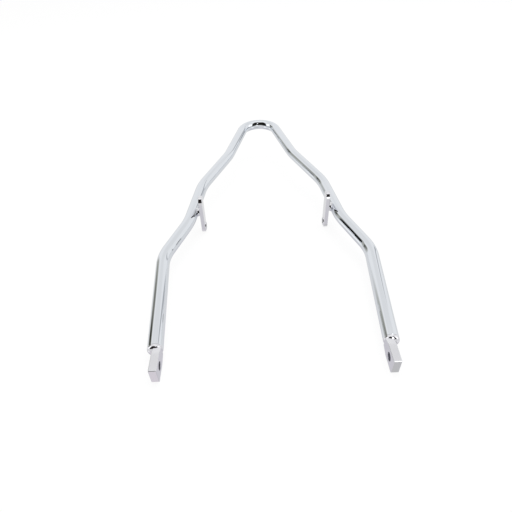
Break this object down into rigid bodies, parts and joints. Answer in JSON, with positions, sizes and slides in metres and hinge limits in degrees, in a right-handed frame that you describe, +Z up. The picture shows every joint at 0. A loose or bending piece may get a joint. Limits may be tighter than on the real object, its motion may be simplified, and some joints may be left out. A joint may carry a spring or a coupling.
{
  "type": "motorcycle sissy bar",
  "caption": "Bent chrome tube hoop with waisted sides, a drilled flat lug at each open end and a drilled pad tab inside each side.",
  "frame": {"origin": "middle of the outline, on the surface that the bar lies on", "axes": "+Y from the lugs to the crown, +X to the right across the bar, +Z up; the bar lies on its two tabs and its two lugs, so the plane of the hoop rises by 5.10 degrees towards the crown"},
  "size_m": [0.318, 0.6167, 0.0746],
  "materials": {
    "tube_chrome": "bright chrome plate on a smooth bent steel tube",
    "bar_chrome": "bright chrome plate on ground flat bar, a little softer than the tube",
    "weld_chrome": "bright chrome plate over a smoothed weld"
  },
  "bodies": {
    "root": {"hoop_tube": "tube_chrome", "left_lug": "bar_chrome", "right_lug": "bar_chrome", "left_standoff": "weld_chrome", "right_standoff": "weld_chrome", "left_tab": "bar_chrome", "right_tab": "bar_chrome", "left_boss": "bar_chrome", "right_boss": "bar_chrome"}
  },
  "joints": []
}
